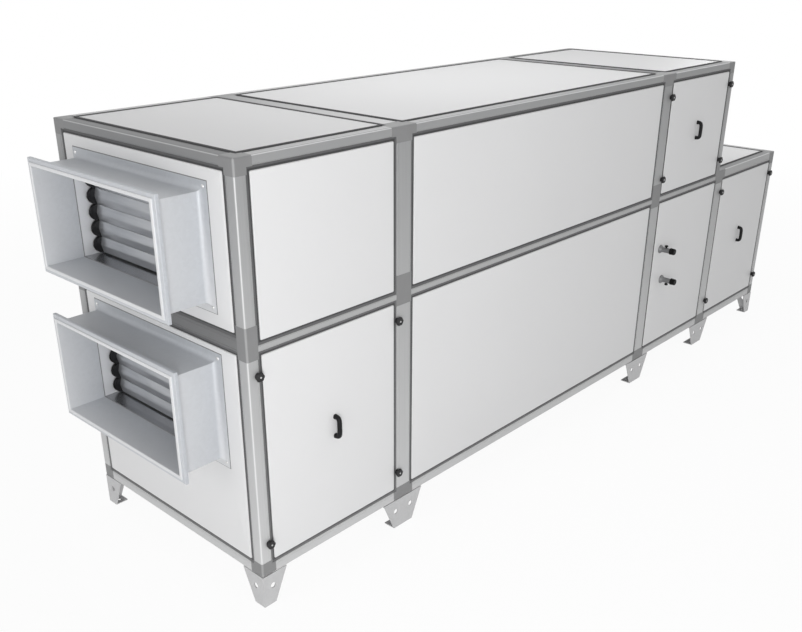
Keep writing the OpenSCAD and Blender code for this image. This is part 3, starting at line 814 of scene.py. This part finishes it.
class AIRUNIT_OT_frame(Builder, Operator):
    """Build the grooved aluminium profiles and finish the moulded corner pieces"""

    bl_idname = "airunit.frame"
    bl_label = "Frame"

    def execute(self, context):
        metal = anodised(self.colours)
        for node in BARS:
            surface = Surface()
            for low, high in solids(node):
                bar(surface, low, high, self.sizes)
            surface.piece("dressed_" + node, metal, "frame_profile", [node])
        dress("frame_corners", moulded_grey(self.colours, self.sizes))
        return {"FINISHED"}


class AIRUNIT_OT_panels(Builder, Operator):
    """Build the panels and doors as pressed trays, the duct end's with their openings"""

    bl_idname = "airunit.panels"
    bl_label = "Panels and doors"

    def execute(self, context):
        coat = powder_coat(self.colours)
        ways = solids("damper_frames")
        for node in PANELS:
            surface = Surface()
            for low, high in solids(node):
                hole = None
                if node == DUCT_END_PANELS:
                    hole = next(way for way in ways if low[2] < way[0][2] < high[2])
                tray(surface, low, high, self.sizes.panel_edge, hole)
            surface.piece("pressed_" + node, coat, "panel", [node])
        return {"FINISHED"}


class AIRUNIT_OT_seals(Builder, Operator):
    """Build the strip and the lip round every panel, the strip of the roof's as a raised bead"""

    bl_idname = "airunit.seals"
    bl_label = "Seals"

    def execute(self, context):
        c = self.colours
        strips, lips, beads = Surface(), Surface(), Surface()
        for node in PANELS:
            for low, high in solids(node):
                roof = outward_of(low, high) == (2, 1)
                edge_ring(beads if roof else strips, low, high, self.strip(roof))
                edge_ring(lips, low, high, self.lip())
        strips.piece("seal_strips", rubber("dark_strip", c.strip, c.strip_lit_low), "seal", ["panel_seals"])
        lips.piece("seal_lips", rubber("grey_lip", c.lip, c.lip_lit_low), "seal", ["panel_seals"])
        beads.piece("roof_beads", rubber("dark_bead", c.bead), "seal", ["panel_seals"])
        return {"FINISHED"}

    def strip(self, roof):
        """Section of the strip next to a panel: flat and set back, or on the roof a raised round bead."""
        s = self.sizes
        near, back, deep = SEAL_FIT, s.seal_back, s.strip_in
        if roof:
            half = (s.strip_w - near) / 2
            top = arc((near + half, 0), half, math.pi, 2 * math.pi, 9) * (1, s.roof_bead / half)
        else:
            top = [(near, deep + near), (3 * near, deep), (s.strip_w - near, deep)]
        return [(near, back), *top, (s.strip_w, back)]

    def lip(self):
        """Section of the lip next to the profile: flat, then a slope up on to its rounded edge."""
        s = self.sizes
        out = SEAL_W + s.lip_over
        return [(s.strip_w, s.seal_back), (s.strip_w, s.lip_in), (SEAL_W - SEAL_FIT, s.lip_in),
                (out, s.lip_out), (out, s.seal_back)]


class AIRUNIT_OT_door_fittings(Builder, Operator):
    """Build the bow handles and the lobed clamp knobs of the doors"""

    bl_idname = "airunit.door_fittings"
    bl_label = "Handles and knobs"

    def execute(self, context):
        c, slot = self.colours, "door_fitting"
        handles, knobs, studs = Surface(), Surface(), Surface()
        for low, high in solids("door_handles"):
            self.handle(handles, low, high)
        for low, high in solids("door_knobs"):
            self.knob(knobs, studs, low, high)
        handles.piece("bow_handles", black_moulding("black_handle", c.black, 0.2), slot, ["door_handles"])
        knobs.piece("clamp_knobs", black_moulding("grey_black_knob", c.knob, 0.3), slot, ["door_knobs"])
        studs.piece("knob_studs", steel("stud_steel", c.stud, 0.6, 0.3), slot)
        return {"FINISHED"}

    def handle(self, surface, low, high):
        """A round-edged section carried along half a superellipse from foot to foot. The section is a
        little slimmer than the solid at the grip and flares at the feet."""
        middle, size = (low + high) / 2, high - low
        half_w, power = size[0] / 2, 2 / self.sizes.handle_fullness
        grip, flared, square = 0.95, 0.15, 0.8
        reach, out = size[2] / 2 - half_w * 1.05, size[1] - half_w * grip
        t = np.linspace(0, math.pi, HANDLE_STEPS)
        rise = out * powered(np.sin(t), power)
        path = np.stack([reach * powered(np.cos(t), power), rise], -1)
        tangent = np.gradient(path, axis=0)
        tangent /= np.linalg.norm(tangent, axis=1, keepdims=True)
        normal = np.stack([-tangent[:, 1], tangent[:, 0]], -1)
        flare = grip + flared * np.exp(-(rise / (0.2 * out)) ** 2)
        angle = np.linspace(0, 2 * math.pi, HANDLE_SIDES, endpoint=False)
        wide = half_w * powered(np.cos(angle), square)
        deep = half_w * powered(np.sin(angle), square)
        x = middle[0] + wide[None, :] * (grip + 0.3 * (flare[:, None] - grip))
        spot = path[:, None, :] + deep[None, :, None] * (flare[:, None] * normal)[:, None, :]
        y = high[1] - np.maximum(spot[..., 1], 0)
        surface.add(np.stack([np.broadcast_to(x, y.shape), y, middle[2] + spot[..., 0]], -1))

    def knob(self, knobs, studs, low, high):
        """A neck that opens into a lobed head with a dished top, and a bright stud in the dish."""
        r, h = (high[0] - low[0]) / 2, high[1] - low[1]
        foot = middle_at(low, high, 1, high[1])
        lathe(knobs, foot, -2, KNOB_HEAD, 64, r, h, self.sizes.knob_lobes, self.sizes.knob_lobe_depth)
        lathe(studs, foot, -2, KNOB_STUD, 20, r, h)


class AIRUNIT_OT_coil_pipes(Builder, Operator):
    """Build the coil's pipe stubs with their rosettes, end caps and plugs"""

    bl_idname = "airunit.coil_pipes"
    bl_label = "Coil pipes"

    def execute(self, context):
        stubs, caps = Surface(), Surface()
        face = CASING_LOW[1]
        for low, high in solids("coil_pipes"):
            pipe = [(PIPE_SHARE, depth) for depth in (0.015, 0.020, face - low[1])]
            foot = middle_at(low, high, 1, face)
            lathe(stubs, foot, -2, [*ROSETTE, *pipe], 40, (high[0] - low[0]) / 2)
        for low, high in solids("coil_pipe_caps"):
            if lies_on(low[1], [span("coil_pipe_caps")[0][1]]):
                self.cap(caps, low, high)
            else:
                self.plug(caps, low, high)
        metal = steel("pipe_steel", self.colours.pipe, 0.35, 0.36)
        stubs.piece("pipe_stubs", metal, "pipe", ["coil_pipes"])
        black = black_moulding("black_cap", self.colours.cap, 0.12)
        caps.piece("pipe_end_caps", black, "pipe_cap", ["coil_pipe_caps"])
        return {"FINISHED"}

    def cap(self, surface, low, high):
        """A pushed-on cap: a thicker rim, a plain skirt and a rounded end."""
        size = high - low
        end = [(radius, height * size[1]) for radius, height in CAP_END]
        lathe(surface, middle_at(low, high, 1, high[1]), -2, [*CAP_RIM, *end], 40, size[0] / 2)

    def plug(self, surface, low, high):
        """A vent or drain plug: a round stem and a wider hexagonal head, away from the pipe's axis."""
        level = (low + high)[2] / 2
        pipes = [(pipe[0] + pipe[1])[2] / 2 for pipe in solids("coil_pipes")]
        upward = level > min(pipes, key=lambda z: abs(z - level))
        foot, axis = (low[2], 3) if upward else (high[2], -3)
        for outline, sides in ((PLUG_STEM, 20), (PLUG_HEAD, 6)):
            lathe(surface, middle_at(low, high, 2, foot), axis, outline, sides,
                  (high[0] - low[0]) / 2, high[2] - low[2])


class AIRUNIT_OT_feet(Builder, Operator):
    """Finish the folded feet"""

    bl_idname = "airunit.feet"
    bl_label = "Feet"

    def execute(self, context):
        dress("feet", galvanised("galvanised_plate", self.colours.foot, self.colours, 0.2))
        return {"FINISHED"}


class AIRUNIT_OT_spigots(Builder, Operator):
    """Build the duct spigots as bent sheet with folded flanges, and their screws"""

    bl_idname = "airunit.spigots"
    bl_label = "Duct spigots"

    def execute(self, context):
        sheets, seams, screws = Surface(), Surface(), Surface()
        ways = sorted(solids("damper_frames"), key=lambda b: b[0][2])
        for (low, high), way in zip(sorted(solids("duct_spigots"), key=lambda b: b[0][2]), ways):
            self.spigot(sheets, low, high, way)
            self.seam(seams, way)
            self.gasket(seams, low, high)
            self.corner_screws(screws, low, high, way)
        zinc = galvanised("galvanised_sheet", self.colours.zinc, self.colours, 0.15)
        sheets.piece("bent_spigots", zinc, "spigot_sheet", ["duct_spigots"], sharp=50)
        seams.piece("spigot_seams", rubber("sealant", self.colours.sealant), "spigot_sheet")
        screws.piece("spigot_screws", steel("screw_zinc", self.colours.bright, 0.8, 0.25), "spigot_sheet")
        return {"FINISHED"}

    def spigot(self, surface, low, high, way):
        """A sheet's section, from the flange on the panel along the wall to the front flange with its
        raised inner lip and folded edge, carried round the rectangle of the clear opening."""
        s = self.sizes
        half, t = (way[1] - way[0])[1:] / 2, s.spigot_sheet
        middle = (way[0] + way[1])[1:] / 2
        base, front = high[0] - t / 2, low[0] + t / 2
        flange, rim = middle[0] - half[0] - low[1], self.front_rim(low, way)
        web = front + s.front_step
        corners = np.array([(base, flange), (base, t / 2), (front, t / 2), (front, s.front_lip),
                            (web, s.front_lip), (web, rim - t / 2), (web + s.front_fold, rim - t / 2)])
        section = thick(bent(corners, [s.base_bend] + [s.front_bend] * 4), t)
        rings = carried_round(middle - half, middle + half, section[:, ::-1], plane_axes(0),
                              SHEET_CORNER, 3)
        # Painted highlight on the front flange's raised inner lip, and on the flange on the panel but for
        # its top
        lip = 0.7 * np.clip((web - section[:, 0]) / s.front_step, 0, 1) * (section[:, 1] > 0)
        flange_highlight = s.base_highlight * np.clip((section[:, 0] - base) / s.base_bend + 1, 0, 1)
        under_top = rings[..., 2] < middle[1] + half[1]
        surface.add(rings, loop=True, polish=lip[:, None] + flange_highlight[:, None] * under_top)

    def front_rim(self, low, way):
        """Width of the front flange: the foremost points of the spigot's mesh reach that far sideways."""
        points = points_of("duct_spigots")
        front = points[points[:, 0] < low[0] + SAME]
        return way[0][1] - front[:, 1].min()

    def seam(self, surface, way):
        """A flat bead of sealant on the spigot's inside, in front of the damper frame's edge."""
        w, edge = self.sizes.seam_w, way[0][0]
        section = [(0, edge - w), (-0.0006, edge - w), (-0.0020, edge - 0.7 * w),
                   (-0.0026, edge - SEAL_FIT), (0, edge - SEAL_FIT)]
        surface.add(carried_round(way[0][1:], way[1][1:], section, plane_axes(0)), loop=True)

    def gasket(self, surface, low, high):
        """A thin flat bead on the panel, round the outline of the flange that is screwed to it."""
        w, h, face = self.sizes.gasket_w, self.sizes.gasket_h, high[0]
        section = [(0, face), (0, face - h), (0.7 * w, face - h), (w, face)]
        surface.add(carried_round(low[1:], high[1:], section, plane_axes(0)), loop=True)

    def corner_screws(self, surface, low, high, way):
        """Round screw heads at the corners of the flange on the panel."""
        inset = (way[0][1] - low[1]) * 0.5
        for y in (low[1] + inset, high[1] - inset):
            for z in (low[2] + inset, high[2] - inset):
                foot = np.array([high[0] - self.sizes.spigot_sheet, y, z])
                lathe(surface, foot, -1, SCREW_HEAD, 20, self.sizes.screw_d / 2)


class AIRUNIT_OT_dampers(Builder, Operator):
    """Build the ridged blades, and finish the damper frames and gear wheels"""

    bl_idname = "airunit.dampers"
    bl_label = "Dampers"

    def execute(self, context):
        metal = extruded_blade(self.colours)
        black = black_moulding("black_gear", self.colours.black, 0.3)
        dress("damper_frames", damper_sheet(self.colours))
        for tier in TIERS:
            for k in BLADES:
                node = f"{tier}_blade_{k}"
                surface = Surface()
                self.blade(surface, node)
                surface.piece("ridged_" + node, metal, "blade", [node], f"{tier}_damper_blade_{k}")
                dress(f"{tier}_gear_{k}", black)
        return {"FINISHED"}

    def blade(self, surface, node):
        """A blade and its pins. Half the blade's thickness falls nearly straight from a round ridge at mid
        chord to the lips: as 1 - (sqrt(c * c + e * e) - e) / (sqrt(1 + e * e) - e), with e the ridge's
        rounding and c going from -1 at one lip to 1 at the other."""
        points = points_of(node)
        low, high = points.min(axis=0), points.max(axis=0)
        middle, half = (low + high) / 2, (high - low) / 2
        wing = points[np.abs(points[:, 2] - middle[2]) > half[2] / 2]
        c, e = np.linspace(-1, 1, BLADE_STEPS), RIDGE
        edge = self.sizes.blade_edge / 2
        fall = (np.hypot(c, e) - e) / (math.hypot(1, e) - e)
        swell = edge + (half[0] - edge) * (1 - fall)
        side = np.stack([middle[0] - swell, middle[2] + c * (half[2] + self.sizes.blade_lip)], -1)
        outline = np.concatenate([side, (side * (-1, 1) + (2 * middle[0], 0))[::-1]])
        ends = (wing[:, 1].min(), wing[:, 1].max())
        surface.add(np.stack([in_space(outline, y, plane_axes(1)) for y in ends]))
        pin_r = np.ptp(points[points[:, 1] < low[1] + SAME][:, 0]) / 2
        chamfer, reach = pin_r / 8, high[1] - low[1]
        pin = [(pin_r - chamfer, 0), (pin_r, chamfer), (pin_r, reach - chamfer), (pin_r - chamfer, reach)]
        lathe(surface, middle_at(low, high, 1, low[1]), 2, pin, 24)


class AIRUNIT_OT_stage(Builder, Operator):
    """Set the camera, the soft studio light and the pale floor"""

    bl_idname = "airunit.stage"
    bl_label = "Stage"

    def execute(self, context):
        scene = context.scene
        scene.view_settings.view_transform = "Standard"
        self.camera(scene)
        self.floor()
        self.world(scene)
        for lamp in LAMPS:
            self.lamp(*lamp)
        return {"FINISHED"}

    def camera(self, scene):
        """The camera that was fitted to the corners of the casing."""
        data = bpy.data.cameras.new("camera")
        data.lens, data.sensor_width = CAMERA_LENS, CAMERA_SENSOR
        data.shift_x, data.shift_y = CAMERA_SHIFT_X, CAMERA_SHIFT_Y
        data.clip_end = CAMERA_REACH
        scene.camera = linked("camera", data)
        scene.camera.location = CAMERA_PLACE
        scene.camera.rotation_euler = [math.radians(a) for a in CAMERA_DEGREES]

    def floor(self):
        """A wide flat sheet under the feet."""
        far, level = FLOOR_REACH, float(cad_box[0][2])
        x, y = np.meshgrid([-far, far], [-far, far], indexing="ij")
        points = np.stack([x, y, np.full_like(x, level)], -1).reshape(-1, 3)
        mesh = bpy.data.meshes.new("floor")
        mesh.from_pydata(points, [], [(0, 2, 3, 1)])
        mesh.materials.append(white_floor())
        obj = linked("floor", mesh)

    def world(self, scene):
        """White to the camera and to mirrors, and a soft even light on everything."""
        world = bpy.data.worlds.new("studio")
        world.use_nodes = True
        n = Nodes(world.node_tree)
        soft, white = (n.node("ShaderNodeBackground", None, {"Color": (1, 1, 1, 1), "Strength": strength})
                       for strength in (SOFT_LIGHT, 1.0))
        seen = n.node("ShaderNodeMixShader", None, {0: n.seen_as_white(), 1: soft, 2: white})
        n.node("ShaderNodeOutputWorld", None, {0: seen})
        scene.world = world

    def lamp(self, name, place, target, size, power):
        """A square soft light at a place, turned to a target."""
        data = bpy.data.lights.new(name, "AREA")
        data.size, data.energy = size, power
        obj = linked(name, data)
        aim = np.array(target) - np.array(place)
        flat = math.hypot(aim[0], aim[1])
        obj.location = place
        obj.rotation_euler = (math.atan2(flat, -aim[2]), 0, math.atan2(-aim[0], aim[1]))


class AIRUNIT_PT_sidebar(Panel):
    """Lists the steps that dress the unit"""

    bl_label = "Air handling unit"
    bl_idname = "AIRUNIT_PT_sidebar"
    bl_space_type = "VIEW_3D"
    bl_region_type = "UI"
    bl_category = "Air unit"

    def draw(self, context):
        for step in STEPS:
            self.layout.operator(step.bl_idname)
        for group in (context.scene.air_unit_sizes, context.scene.air_unit_colours):
            for key in group.__annotations__:
                self.layout.prop(group, key)


STEPS = (
    AIRUNIT_OT_stage, AIRUNIT_OT_frame, AIRUNIT_OT_panels, AIRUNIT_OT_seals, AIRUNIT_OT_door_fittings,
    AIRUNIT_OT_coil_pipes, AIRUNIT_OT_feet, AIRUNIT_OT_spigots, AIRUNIT_OT_dampers,
)
CLASSES = (UnitSizes, UnitColours, *STEPS, AIRUNIT_PT_sidebar)


def register():
    for item in CLASSES:
        bpy.utils.register_class(item)
    bpy.types.Scene.air_unit_sizes = PointerProperty(type=UnitSizes)
    bpy.types.Scene.air_unit_colours = PointerProperty(type=UnitColours)


def unregister():
    del bpy.types.Scene.air_unit_colours
    del bpy.types.Scene.air_unit_sizes
    for item in reversed(CLASSES):
        bpy.utils.unregister_class(item)


def main():
    register()
    for step in STEPS:
        group, name = step.bl_idname.split(".")
        getattr(getattr(bpy.ops, group), name)()


if __name__ == "__main__":
    main()
